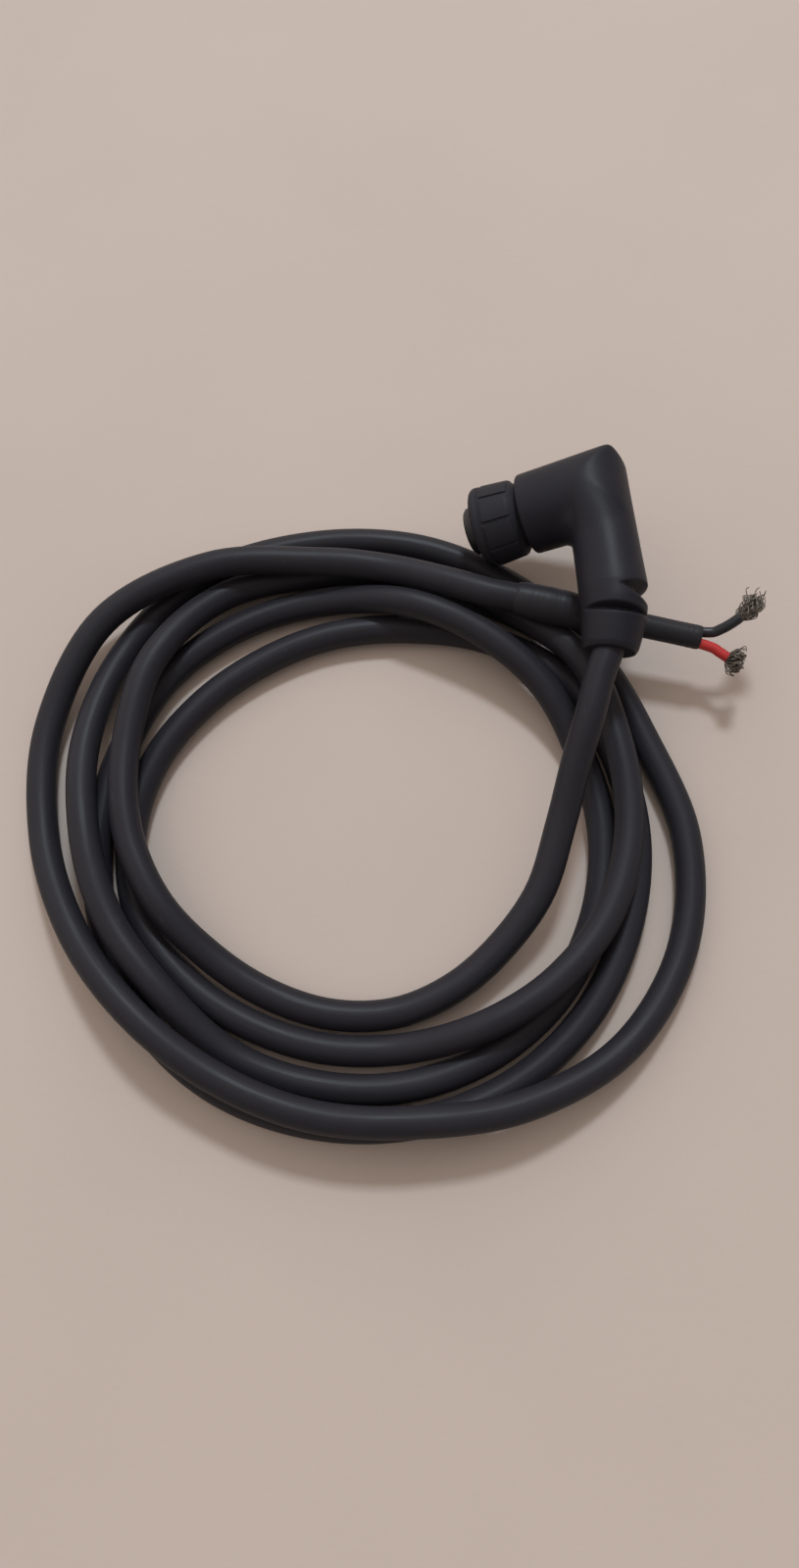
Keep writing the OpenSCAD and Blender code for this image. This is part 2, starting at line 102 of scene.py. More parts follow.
# Free stretches: from the relief down to the coil, and from the coil up to the boot
LEAD_IN = ((0.054, 0.024, 0.0262), (0.0508, 0.0135, 0.0218))
RUN_OUT = ((0.005, 0.071, 0.0126), (0.0205, 0.0657, 0.0154))
# Bare leads beyond the sleeve, and where their strands point to
RED_BEYOND = ((0.0875, 0.0474, 0.0144), (0.0896, 0.0461, 0.0142), (0.0917, 0.0446, 0.014))
BLACK_BEYOND = (
    (0.0874, 0.0511, 0.0153), (0.0899, 0.0515, 0.0163), (0.0922, 0.0524, 0.0175), (0.0944, 0.0536, 0.0187),
)
RED_TIP = (0.0975, 0.0415, 0.014)
BLACK_TIP = (0.1005, 0.060, 0.020)

# Stations along the far end, from the boot's mouth
JACKET_END = 0.017
BOOT_END = 0.027
SLEEVE_END = 0.048


# ---------------------------------------------------------------- properties


def length(name, description, default, low, high):
    """A length in metres, shown in the scene's units."""
    return FloatProperty(
        name=name, description=description, default=default, min=low, max=high, unit="LENGTH", precision=5
    )


def colour(name, description, default):
    """A plain colour."""
    return FloatVectorProperty(
        name=name, description=description, default=default, min=0, max=1, size=3, subtype="COLOR"
    )


def whole(name, description, default, low, high):
    """A whole number of like things."""
    return IntProperty(name=name, description=description, default=default, min=low, max=high)


class CableSettings(bpy.types.PropertyGroup):
    """Sizes and colours of the cable and its stage."""

    jacket: length("Jacket diameter", "Outer diameter of the round cable", 0.0075, 0.006, 0.008)
    core: length("Core diameter", "Outer diameter of each insulated core", 0.0027, 0.002, 0.003)
    core_side: length("Core offset", "Distance of each core from the sleeve's middle", 0.00145, 0.001, 0.002)
    nut_arm: length("Nut arm radius", "Radius of the nut's arm at its face", 0.0104, 0.009, 0.012)
    corner: length("Corner radius", "Radius of that arm where the two arms meet", 0.0109, 0.009, 0.012)
    cable_arm: length("Cable arm radius", "Radius of the arm that the cable leaves by", 0.00845, 0.007, 0.009)
    arm_len: length("Nut arm length", "Distance of the nut arm's face from the corner", 0.0189, 0.018, 0.02)
    slot_root: length("Slot root", "Least distance of each slot's root from the axis", 0.005, 0.0045, 0.006)
    nut: length("Nut radius", "Outer radius of the coupling nut at its front", 0.0107, 0.009, 0.012)
    nut_back: length("Nut back radius", "Outer radius of the coupling nut at its back", 0.0099, 0.009, 0.012)
    nut_len: length("Nut length", "Length of the coupling nut", 0.0122, 0.01, 0.016)
    nut_panels: whole("Grip panels", "Grip panels around the nut", 9, 6, 14)
    boot: length("Boot radius", "Radius of the end boot", 0.00475, 0.0042, 0.0052)
    sleeve: length("Sleeve radius", "Radius of the sleeve over the two cores", 0.00315, 0.0028, 0.0036)
    strand: length("Strand diameter", "Diameter of one strand of a bare end", 0.00027, 0.0001, 0.0005)
    strands: whole("Strands", "Strands in each bare end", 120, 7, 150)
    jacket_colour: colour("Jacket", "Colour of the cable's jacket", (0.0215, 0.0200, 0.0250))
    mould_colour: colour("Moulding", "Colour of the elbow", (0.0155, 0.0148, 0.0203))
    nut_colour: colour("Nut", "Colour of the coupling nut", (0.0220, 0.0212, 0.0266))
    shrink_colour: colour("Sleeves", "Colour of the boot and the sleeve", (0.0240, 0.0225, 0.0260))
    red: colour("Red core", "Colour of the red core", (0.50, 0.033, 0.032))
    black: colour("Black core", "Colour of the black core", (0.0190, 0.0190, 0.0230))
    wire: colour("Bare strands", "Colour of the tinned strands", (0.235, 0.2, 0.168))
    paper: colour("Ground", "Colour of the ground", (0.56, 0.462, 0.406))


# ---------------------------------------------------------------- paths


def smooth_path(points, per_span):
    """Points of the Catmull-Rom curve through points, with per_span steps from each to the next."""
    points = [Vector(p) for p in points]
    ends = [2 * points[0] - points[1], *points, 2 * points[-1] - points[-2]]
    path = []
    for a, b, c, d in zip(ends, ends[1:], ends[2:], ends[3:]):
        for step in range(per_span):
            t = step / per_span
            twice = 2 * b + (c - a) * t + (2 * a - 5 * b + 4 * c - d) * t**2 + (3 * b - 3 * c + d - a) * t**3
            path.append(twice / 2)
    return [*path, points[-1]]


def elbow_matrix():
    """Turns the elbow's own frame, with its nut arm on -x and its cable arm on -y, into the part's."""
    return Matrix.Translation(ELBOW_AT) @ ELBOW_TURN.to_matrix().to_4x4()


def relief_frame(station, start=BEND_START, long=BEND_LEN, angle=BEND_ANGLE, roll=BEND_ROLL):
    """Place and heading of the cable arm's axis at a station, in the elbow's own frame."""
    turn = min(long, max(0.0, station - start)) / long * angle
    radius = long / angle
    side = Vector((math.cos(roll), 0, math.sin(roll)))
    heading = side * math.sin(turn) - Vector((0, math.cos(turn), 0))
    down = min(station, start) + radius * math.sin(turn)
    place = side * radius * (1 - math.cos(turn)) - Vector((0, down, 0))
    return place + heading * max(0.0, station - start - long), heading


def on_tail(station, side=0.0):
    """A point of the far end, from its distance past the boot's mouth and its offset."""
    return TAIL_AT + TAIL_TURN.to_matrix() @ Vector((station, side, 0))


def cable_points(jacket):
    """Points of the whole jacket, from inside the strain relief to the boot's mouth."""
    to_part = elbow_matrix()
    mouth, heading = relief_frame(BEND_START + BEND_LEN)
    inside = [to_part @ relief_frame(BEND_START + BEND_LEN * k)[0] for k in (0, 0.5)]
    exit_at = to_part @ mouth
    exit_way = ELBOW_TURN.to_matrix() @ heading
    coil = []
    for reaches, lifts in zip(REACH, LIFT):
        for k, (reach, lift) in enumerate(zip(reaches, lifts)):
            angle = STATION * k
            place = (reach * math.cos(angle), -reach * math.sin(angle), jacket / 2 + lift)
            coil.append(COIL_MIDDLE + Vector(place))
    lead_in = [COIL_MIDDLE + Vector(p) for p in LEAD_IN]
    run_out = [COIL_MIDDLE + Vector(p) for p in RUN_OUT]
    leaving = [exit_at, exit_at + exit_way * jacket]
    into_boot = [on_tail(-jacket), on_tail(0)]
    return [*inside, *leaving, *lead_in, *coil, *run_out, *into_boot]


def lead_points(side, beyond):
    """Points of one lead, from inside the boot to its bare end."""
    inside = [on_tail(s, side) for s in (JACKET_END - 0.002, JACKET_END + 0.008, SLEEVE_END - 0.004)]
    return [*inside, *(COIL_MIDDLE + Vector(p) for p in beyond)]


# ---------------------------------------------------------------- node groups


class Graph:
    """Adds nodes to a tree, sets their unlinked sockets and links the rest."""

    def __init__(self, tree):
        self.tree = tree

    def add(self, kind, inputs=None, **settings):
        """A node of that kind. Inputs maps a socket's name or number to a value or to another socket."""
        node = self.tree.nodes.new(kind)
        for name, value in settings.items():
            setattr(node, name, value)
        for key, value in (inputs or {}).items():
            if isinstance(value, bpy.types.NodeSocket):
                self.tree.links.new(value, node.inputs[key])
            else:
                node.inputs[key].default_value = value
        return node

    def keep(self, geometry, name, value, kind):
        """The geometry with a value stored on each of its points, under a name."""
        inputs = {"Geometry": geometry, "Name": name, "Value": value}
        node = self.add("GeometryNodeStoreNamedAttribute", inputs, data_type=kind, domain="POINT")
        return node.outputs["Geometry"]

    def close(self, geometry, material):
        """Ends a geometry tree with real geometry in one material."""
        real = self.add("GeometryNodeRealizeInstances", {"Geometry": geometry})
        inputs = {"Geometry": real.outputs["Geometry"], "Material": material}
        painted = self.add("GeometryNodeSetMaterial", inputs)
        self.add("NodeGroupOutput", {"Geometry": painted.outputs["Geometry"]})


# Kinds of a group's own inputs
WHOLE = "NodeSocketInt"
SIZE = "NodeSocketFloat"
FINISH = "NodeSocketMaterial"


def new_geometry_group(name, **sockets):
    """An empty geometry node group with one geometry in and out, and the named value inputs."""
    group = bpy.data.node_groups.new(name, "GeometryNodeTree")
    group.interface.new_socket("Geometry", in_out="INPUT", socket_type="NodeSocketGeometry")
    for label, kind in sockets.items():
        group.interface.new_socket(label, in_out="INPUT", socket_type=kind)
    group.interface.new_socket("Geometry", in_out="OUTPUT", socket_type="NodeSocketGeometry")
    return group, Graph(group)


def sweep_group():
    """Sweeps a circle along every curve, at the curve's own radius.

    Each point keeps how far along its curve it is, and its place on the circle.
    """
    if "Sweep" in bpy.data.node_groups:
        return bpy.data.node_groups["Sweep"]
    group, g = new_geometry_group("Sweep", Sides=WHOLE, Spacing=SIZE, Material=FINISH)
    given = g.add("NodeGroupInput").outputs
    evenly = {"Curve": given["Geometry"], "Length": given["Spacing"]}
    resampled = g.add("GeometryNodeResampleCurve", evenly, mode="LENGTH")
    along = g.add("GeometryNodeSplineParameter").outputs["Length"]
    line = g.keep(resampled.outputs["Curve"], "along", along, "FLOAT")
    unit_circle = {"Resolution": given["Sides"], "Radius": 1.0}
    circle = g.add("GeometryNodeCurvePrimitiveCircle", unit_circle, mode="RADIUS")
    place = g.add("GeometryNodeInputPosition").outputs["Position"]
    profile = g.keep(circle.outputs["Curve"], "side", place, "FLOAT_VECTOR")
    thickness = g.add("GeometryNodeInputRadius").outputs["Radius"]
    curves = {"Curve": line, "Profile Curve": profile, "Scale": thickness, "Fill Caps": True}
    tube = g.add("GeometryNodeCurveToMesh", curves)
    shaded = g.add("GeometryNodeSetShadeSmooth", {"Geometry": tube.outputs["Mesh"], "Shade Smooth": True})
    g.close(shaded.outputs["Geometry"], given["Material"])
    return group


def ring_group():
    """Repeats a mesh around the z axis."""
    if "Ring of copies" in bpy.data.node_groups:
        return bpy.data.node_groups["Ring of copies"]
    group, g = new_geometry_group("Ring of copies", Count=WHOLE, Material=FINISH)
    given = g.add("NodeGroupInput").outputs
    points = g.add("GeometryNodePoints", {"Count": given["Count"]})
    index = g.add("GeometryNodeInputIndex").outputs["Index"]
    share = g.add("ShaderNodeMath", {0: index, 1: given["Count"]}, operation="DIVIDE")
    angle = g.add("ShaderNodeMath", {0: share.outputs[0], 1: math.tau}, operation="MULTIPLY")
    turn = g.add("ShaderNodeCombineXYZ", {"Z": angle.outputs[0]})
    one_each = {"Points": points.outputs[0], "Instance": given["Geometry"], "Rotation": turn.outputs[0]}
    copies = g.add("GeometryNodeInstanceOnPoints", one_each)
    g.close(copies.outputs["Instances"], given["Material"])
    return group


def through_nodes(name, source, group, **inputs):
    """A plain mesh object from source run through a geometry node group. The source is removed."""
    bpy.context.collection.objects.link(source)
    modifier = source.modifiers.new(group.name, "NODES")
    modifier.node_group = group
    for item in group.interface.items_tree:
        if item.in_out == "INPUT" and item.name in inputs:
            modifier[item.identifier] = inputs[item.name]
    bpy.context.view_layer.update()
    evaluated = source.evaluated_get(bpy.context.evaluated_depsgraph_get())
    mesh = bpy.data.meshes.new_from_object(evaluated)
    if not mesh.polygons:
        raise RuntimeError(f"{name} came out empty")
    mesh.name = name
    data = source.data
    bpy.data.objects.remove(source)
    library = bpy.data.curves if isinstance(data, bpy.types.Curve) else bpy.data.meshes
    library.remove(data)
    made = bpy.data.objects.new(name, mesh)
    bpy.context.collection.objects.link(made)
    return made


def swept(name, lines, sides, spacing, material):
    """Round tubes along lines, each a list of (point, radius)."""
    curve = bpy.data.curves.new(name + "_line", "CURVE")
    curve.dimensions = "3D"
    for line in lines:
        spline = curve.splines.new("POLY")
        spline.points.add(len(line) - 1)
        for point, (place, radius) in zip(spline.points, line):
            point.co = (*place, 1)
            point.radius = radius
    source = bpy.data.objects.new(name + "_source", curve)
    return through_nodes(name, source, sweep_group(), Sides=sides, Spacing=spacing, Material=material)


# ---------------------------------------------------------------- meshes


def around(count):
    """Angles of so many even steps of one turn."""
    return [math.tau * k / count for k in range(count)]


def add_skin(bm, rings, looped=False):
    """Adds a skin over rings of places. A looped one runs back to its first ring, any other is capped."""
    rings = [[bm.verts.new(place) for place in ring] for ring in rings]
    for a, b in zip(rings, rings[1:] + rings[:1] if looped else rings[1:]):
        for k in range(len(a)):
            n = (k + 1) % len(a)
            bm.faces.new((a[k], a[n], b[n], b[k]))
    if not looped:
        bm.faces.new(list(reversed(rings[0])))
        bm.faces.new(rings[-1])


def lathe(bm, profile, segments, matrix):
    """Adds a bar turned about z to bm. Profile is a list of (station, radius)."""
    rings = []
    for station, r in profile:
        rings.append([matrix @ Vector((r * math.cos(t), r * math.sin(t), station)) for t in around(segments)])
    add_skin(bm, rings)


def bent_lathe(bm, stations, axis, segments):
    """Adds a round bar along an axis to bm. Stations is a list of (station, radius)."""
    rings = []
    for station, r in stations:
        place, heading = axis(station)
        across = heading.cross(Vector((0, 0, 1))).normalized()
        up = across.cross(heading)
        rings.append([place + r * (math.cos(t) * across + math.sin(t) * up) for t in around(segments)])
    add_skin(bm, rings)


def mesh_object(name, bm, material=None):
    """A linked object from bm, smooth and with its normals outward."""
    bmesh.ops.recalc_face_normals(bm, faces=bm.faces[:])
    mesh = bpy.data.meshes.new(name)
    bm.to_mesh(mesh)
    bm.free()
    mesh.shade_smooth()
    if material:
        mesh.materials.append(material)
    made = bpy.data.objects.new(name, mesh)
    bpy.context.collection.objects.link(made)
    return made


def apply_modifiers(obj):
    """Bakes obj's modifiers into its mesh."""
    bpy.context.view_layer.update()
    evaluated = obj.evaluated_get(bpy.context.evaluated_depsgraph_get())
    mesh = bpy.data.meshes.new_from_object(evaluated)
    old = obj.data
    obj.modifiers.clear()
    obj.data = mesh
    bpy.data.meshes.remove(old)


def finished(obj, body, slot, *nodes):
    """Hands a piece over to the frame: its body and the nodes that it stands for. Its material slot is not
    used.
    """
    if not obj.data.polygons:
        raise RuntimeError(f"{obj.name} has no faces")
    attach(obj, body)
    if nodes:
        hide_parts(*nodes)


# ---------------------------------------------------------------- materials


class Wire:
    """A shader value that adds and multiplies like a number."""

    def __init__(self, graph, socket):
        self.graph = graph
        self.socket = socket

    def maths(self, operation, other):
        """The result of a maths node on this value and another."""
        other = other.socket if isinstance(other, Wire) else other
        node = self.graph.add("ShaderNodeMath", {0: self.socket, 1: other}, operation=operation)
        return Wire(self.graph, node.outputs[0])

    def __add__(self, other):
        return self.maths("ADD", other)

    def __mul__(self, other):
        return self.maths("MULTIPLY", other)

    __radd__ = __add__
    __rmul__ = __mul__

    def over(self, low, high):
        """This value taken from low to high onto 0 to 1, and held there."""
        node = self.graph.add("ShaderNodeMapRange", {"Value": self.socket, "From Min": low, "From Max": high})
        return Wire(self.graph, node.outputs["Result"])


class Paint:
    """A procedural material: one surface node and the textures that drive it."""

    def __init__(self, name, base, roughness, metallic=0.0, specular=0.5):
        self.material = bpy.data.materials.new(name)
        self.material.use_nodes = True
        tree = self.material.node_tree
        tree.nodes.clear()
        self.graph = Graph(tree)
        settings = {"Base Color": (*base, 1), "Roughness": roughness, "Metallic": metallic}
        settings["Specular IOR Level"] = specular
        self.surface = self.graph.add("ShaderNodeBsdfPrincipled", settings)
        self.graph.add("ShaderNodeOutputMaterial", {"Surface": self.surface.outputs[0]})

    def place(self):
        """The piece's own coordinates."""
        return self.graph.add("ShaderNodeTexCoord").outputs["Object"]

    def round_tube(self, stretch):
        """Coordinates that run round and along a swept tube, with its length stretched."""
        side = self.graph.add("ShaderNodeAttribute", attribute_name="side").outputs["Vector"]
        along = Wire(self.graph, self.graph.add("ShaderNodeAttribute", attribute_name="along").outputs["Fac"])
        x, y, _ = self.graph.add("ShaderNodeSeparateXYZ", {0: side}).outputs
        return self.graph.add("ShaderNodeCombineXYZ", {0: x, 1: y, 2: (along * stretch).socket}).outputs[0]

    def noise(self, scale, vector, detail=3.0):
        """A noise value about 0.5."""
        grain = {"Vector": vector, "Scale": scale, "Detail": detail, "Roughness": 0.55}
        return Wire(self.graph, self.graph.add("ShaderNodeTexNoise", grain).outputs["Fac"])

    def tint(self, other, factor):
        """Mixes the base colour with another where factor is high."""
        mix = self.graph.add("ShaderNodeMix", {"Factor": factor.socket}, data_type="RGBA")
        source = self.surface.inputs["Base Color"]
        if source.is_linked:
            self.graph.tree.links.new(source.links[0].from_socket, mix.inputs[6])
        else:
            mix.inputs[6].default_value = source.default_value[:]
        mix.inputs[7].default_value = (*other, 1)
        self.graph.tree.links.new(mix.outputs[2], source)
        return self

    def rough(self, value):
        """Drives the roughness."""
        self.graph.tree.links.new(value.socket, self.surface.inputs["Roughness"])
        return self

    def bump(self, height, distance, strength=1.0):
        """Raises the surface by height times distance."""
        source = self.surface.inputs["Normal"]
        inputs = {"Height": height.socket, "Distance": distance, "Strength": strength}
        if source.is_linked:
            inputs["Normal"] = source.links[0].from_socket
        node = self.graph.add("ShaderNodeBump", inputs)
        self.graph.tree.links.new(node.outputs[0], source)
        return self


def get_material(name):
    """The look of the named material, made the first time that it is asked for."""
    look = name + "_look"
    if look in bpy.data.materials:
        return bpy.data.materials[look]
    return MAKERS[name](look, bpy.context.scene.cable).material


def jacket_paint(name, s):
    """Matt cable jacket with fine drawn lines, faint scuffs and dust."""
    worn, scuffed, dusty = (0.028, 0.027, 0.032), (0.06, 0.06, 0.062), (0.13, 0.125, 0.12)
    p = Paint(name, s.jacket_colour, 0.44, specular=0.15)
    drawn = p.noise(5.0, p.round_tube(9.0), detail=4)
    scuffs = p.noise(3.0, p.round_tube(120.0), detail=5).over(0.62, 0.80)
    dust = p.noise(2600.0, p.place(), detail=2).over(0.70, 0.80)
    patches = p.noise(26.0, p.place(), detail=3).over(0.45, 0.70)
    p.tint(worn, patches * 0.5)
    p.tint(scuffed, scuffs * 0.3)
    p.tint(dusty, dust * patches * 0.3)
    p.rough(drawn * 0.12 + patches * 0.06 + 0.36)
    return p.bump(drawn, 0.00006).bump(p.noise(900.0, p.place()), 0.00002)


def mould_paint(name, s):
    """Satin moulding with a fine eroded grain."""
    worn, dusty = (0.023, 0.022, 0.026), (0.12, 0.115, 0.11)
    p = Paint(name, s.mould_colour, 0.44, specular=0.16)
    cloud = p.noise(70.0, p.place(), detail=4)
    dust = p.noise(3200.0, p.place(), detail=1).over(0.72, 0.82)
    p.tint(worn, cloud.over(0.45, 0.75) * 0.5)
    p.tint(dusty, dust * 0.2)
    p.rough(cloud * 0.14 + 0.38)
    return p.bump(p.noise(2400.0, p.place(), detail=2), 0.00003)


def nut_paint(name, s):
    """Matt moulded nut."""
    worn = (0.030, 0.0285, 0.030)
    p = Paint(name, s.nut_colour, 0.5, specular=0.13)
    cloud = p.noise(90.0, p.place(), detail=4)
    p.tint(worn, cloud.over(0.5, 0.75) * 0.5)
    p.rough(cloud * 0.14 + 0.48)
    return p.bump(p.noise(2600.0, p.place(), detail=2), 0.00004)


def shrink_paint(name, s):
    """Satin shrink sleeve with faint rings around it."""
    p = Paint(name, s.shrink_colour, 0.42, specular=0.16)
    rings = p.noise(4.0, p.round_tube(700.0), detail=3)
    p.rough(rings * 0.14 + 0.36)
    return p.bump(rings, 0.00004)


def red_paint(name, s):
    """Red insulation."""
    return insulation(name, s.red)


def black_paint(name, s):
    """Black insulation."""
    return insulation(name, s.black)


def insulation(name, base):
    """Soft satin plastic over a core, with a few dull patches."""
    p = Paint(name, base, 0.38, specular=0.3)
    cloud = p.noise(500.0, p.place(), detail=3)
    p.tint(tuple(c * 0.6 for c in base), cloud.over(0.5, 0.8) * 0.4)
    p.rough(cloud * 0.2 + 0.3)
    return p.bump(cloud, 0.00003)


def wire_paint(name, s):
    """Dull tinned wire, darker in patches."""
    tarnished = (0.045, 0.037, 0.031)
    p = Paint(name, s.wire, 0.5, metallic=0.35, specular=0.3)
    cloud = p.noise(1300.0, p.place(), detail=2)
    p.tint(tarnished, cloud.over(0.44, 0.6) * 0.9)
    return p.rough(cloud * 0.25 + 0.36)


def carrier_paint(name, s):
    """Matt plastic of the plug's face."""
    p = Paint(name, (0.012, 0.012, 0.013), 0.5)
    return p.bump(p.noise(1800.0, p.place()), 0.00002)


def inner_paint(name, s):
    """Matt plastic under the moulding."""
    p = Paint(name, (0.05, 0.05, 0.055), 0.6)
    return p.bump(p.noise(900.0, p.place()), 0.00003)


def seal_paint(name, s):
    """Soft rubber of the face seal."""
    p = Paint(name, (0.28, 0.07, 0.04), 0.55)
    return p.rough(p.noise(900.0, p.place()) * 0.2 + 0.45)


def brass_paint(name, s):
    """Plated contact."""
    p = Paint(name, (0.75, 0.55, 0.25), 0.25, metallic=1.0)
    return p.rough(p.noise(1500.0, p.place()) * 0.15 + 0.2)


def steel_paint(name, s):
    """Plain spring steel."""
    p = Paint(name, (0.55, 0.55, 0.56), 0.3, metallic=1.0)
    return p.rough(p.noise(1500.0, p.place()) * 0.15 + 0.25)


def paper_paint(name, s):
    """Plain pale ground with a faint mottle."""
    p = Paint(name, s.paper, 0.9)
    cloud = p.noise(9.0, p.place(), detail=4)
    p.tint(tuple(c * 0.965 for c in s.paper), cloud.over(0.35, 0.65))
    return p.bump(p.noise(420.0, p.place(), detail=4), 0.00006)


MAKERS = {
    "jacket": jacket_paint,
    "moulding": mould_paint,
    "nut": nut_paint,
    "shrink": shrink_paint,
    "red_insulation": red_paint,
    "black_insulation": black_paint,
    "tinned_wire": wire_paint,
    "insulator": carrier_paint,
    "inner_moulding": inner_paint,
    "seal": seal_paint,
    "contact": brass_paint,
    "clip": steel_paint,
    "paper": paper_paint,
}


# ---------------------------------------------------------------- operators


class CABLE_OT_camera(bpy.types.Operator):
    """Place the camera that looks down on the coil."""

    bl_idname = "cable.camera"
    bl_label = "Camera"

    sensor = 36
    lens = 29.25
    nearest = 0.01
    from_coil = (0.00844, -0.09079, 0.309)
    tilt = math.radians(19)

    def execute(self, context):
        data = bpy.data.cameras.new("camera")
        data.sensor_width = self.sensor
        data.lens = self.lens
        data.clip_start = self.nearest
        camera = bpy.data.objects.new("camera", data)
        camera.location = COIL_MIDDLE + Vector(self.from_coil)
        camera.rotation_euler = (self.tilt, 0, 0)
        context.collection.objects.link(camera)
        context.scene.camera = camera
        return {"FINISHED"}


class CABLE_OT_jacket(bpy.types.Operator):
    """Sweep the round jacket through the whole coil."""

    bl_idname = "cable.jacket"
    bl_label = "Cable"

    steps = 12
    sides = 28
    spacing = 0.0024

    def execute(self, context):
        s = context.scene.cable
        path = smooth_path(cable_points(s.jacket), self.steps)
        radius = s.jacket / 2
        for place in path:
            place.z = max(place.z, radius)
        line = [(place, radius) for place in path]
        obj = swept("cable_jacket", [line], self.sides, self.spacing, get_material("jacket"))
        finished(obj, "cable", "jacket", "cable_lead_in", "cable_coil", "cable_run_out")
        context.scene["cable_path"] = [tuple(place) for place in path]
        return {"FINISHED"}


class CABLE_OT_elbow(bpy.types.Operator):
    """Model the moulded elbow with its slotted strain relief."""

    bl_idname = "cable.elbow"
    bl_label = "Elbow"

    # Fineness of the meshes, and a length beyond all of the elbow
    voxel = 0.00024
    arm_sides = 160
    relief_sides = 128
    blend_sides = 96
    blend_steps = 24
    slot_sides = 180
    far = 0.05

    draft = 0.0004
    chamfer = 0.0005
    corner_r = 0.006
    throat_r = 0.005
    throat_overlap = 4
    shoulder_len = 0.018

    # Where the most rounded zone ends on each arm, and over what length it fades in
    junction = ((-0.0165, 0.004), (-0.0265, 0.006))

    # The relief's bend: its start, length, angle and side. Beyond its start: stations, and how much thinner
    collar_bend = (0.0285, 0.008, math.radians(19), math.radians(206))
    collar = (
        (0.0296, 0.0), (0.033, 0.0003), (0.0365, 0.0006), (0.040, 0.001), (0.0433, 0.0015), (0.0445, 0.0021),
    )

    # Each slot: its station, the station that it is square to, its side in degrees,
    # and its width towards the corner and towards the cable
    slots = ((0.0303, 0.0325, -16, 0.0024, 0.0038), (0.0354, 0.0354, 64, 0.0015, 0.0015))
    slot_shift = 0.0053
    slot_past = 0.001

    def execute(self, context):
        s = context.scene.cable
        body = self.solid(s)
        for station, square_to, side, back, front in self.slots:
            place, heading = self.relief_axis(station)[0], self.relief_axis(square_to)[1]
            self.boolean(body, "DIFFERENCE", self.slot(s, place, heading, math.radians(side), back, front))
        self.even(body)
        self.soften(body)
        body.data.transform(elbow_matrix())
        body.data.materials.clear()
        body.data.materials.append(get_material("moulding"))
        finished(body, "cable", "moulding", "overmould")
        return {"FINISHED"}

    def boolean(self, body, operation, other):
        """Cuts body with other, or keeps what they share. The other mesh is used up."""
        cut = body.modifiers.new("cut", "BOOLEAN")
        cut.operation = operation
        cut.solver = "EXACT"
        cut.object = other
        apply_modifiers(body)
        bpy.data.objects.remove(other)

    def even(self, body):
        """Joins all that overlaps in body into one even mesh."""
        remesh = body.modifiers.new("even", "REMESH")
        remesh.mode = "VOXEL"
        remesh.voxel_size = self.voxel
        remesh.use_smooth_shade = True
        apply_modifiers(body)

    def soften(self, body):
        """Rounds every edge a little, and the junction of the two arms a lot."""
        group = body.vertex_groups.new(name="junction")
        for vertex in body.data.vertices:
            weight = 1.0
            for place, (end, fade) in zip(vertex.co, self.junction):
                weight *= min(1.0, max(0.0, (place - end) / fade))
            if weight > 0:
                group.add([vertex.index], weight, "REPLACE")
        for iterations, zone in ((125, "junction"), (4, "")):
            smooth = body.modifiers.new("soften", "SMOOTH")
            smooth.factor = 0.5
            smooth.iterations = iterations
            smooth.vertex_group = zone
        apply_modifiers(body)
        body.vertex_groups.clear()

    def solid(self, s):
        """The elbow as one even mesh without its slots, in its own frame."""
        thin_r = s.cable_arm - self.draft
        body = self.nut_arm(s, thin_r)
        bm = bmesh.new()
        bm.from_mesh(body.data)
        relief = [(0.0, thin_r), (self.collar_bend[0], s.cable_arm)]
        relief += [(station, s.cable_arm - thinner) for station, thinner in self.collar]
        bent_lathe(bm, relief, self.relief_axis, self.relief_sides)
        self.shoulder(bm, s.corner, thin_r)
        self.throat(bm, s.nut_arm, thin_r)
        bm.to_mesh(body.data)
        bm.free()
        self.even(body)
        return body

    def nut_arm(self, s, thin_r):
        """The arm that carries the nut, with its far end and its outer corner rounded."""
        profile = [
            (-thin_r, s.corner),
            (s.arm_len - self.chamfer, s.nut_arm),
            (s.arm_len, s.nut_arm - self.chamfer),
        ]
        bm = bmesh.new()
        lathe(bm, profile, self.arm_sides, Matrix.Rotation(math.radians(-90), 4, "Y"))
        body = mesh_object("elbow_body", bm)
        half_turn = [math.radians(5 * k) for k in range(37)]
        middle = thin_r - s.corner
        side = [(middle + s.corner * math.sin(a), s.corner * math.cos(a)) for a in half_turn]
        side += [(-self.far, -s.corner), (-self.far, s.corner)]
        self.boolean(body, "INTERSECT", self.prism(side, lambda x, z, y: (x, y, z)))
        quarter = half_turn[:19]
        right, high = thin_r - self.corner_r, s.corner - self.corner_r
        top = [(right + self.corner_r * math.sin(a), high + self.corner_r * math.cos(a)) for a in quarter]
        top += [(thin_r, -self.far), (-self.far, -self.far), (-self.far, s.corner)]
        self.boolean(body, "INTERSECT", self.prism(top, lambda x, y, z: (x, y, z)))
        return body

    def relief_axis(self, station):
        """Place and heading of the relief's axis, in the elbow's own frame."""
        return relief_frame(station, *self.collar_bend)

    def prism(self, outline, place):
        """A closed prism from a flat outline. Place turns two flat values and a height into a point."""
        bm = bmesh.new()
        add_skin(bm, [[place(a, b, h) for a, b in outline] for h in (-self.far, self.far)])
        return mesh_object("limit", bm)

    def shoulder(self, bm, high, thin_r):
        """Carries the thicker arm's rounded end over into the cable arm."""
        rings = []
        for k in range(self.blend_steps + 1):
            t = k / self.blend_steps
            share = 0.5 + 0.5 * math.cos(math.pi * t)
            radius = thin_r + (high - thin_r) * share
            centre = (thin_r - high) * share
            ring = []
            for a in around(self.blend_sides):
                width = radius if math.cos(a) > 0 else thin_r + centre
                ring.append((centre + width * math.cos(a), -self.shoulder_len * t, radius * math.sin(a)))
            rings.append(ring)
        add_skin(bm, rings)

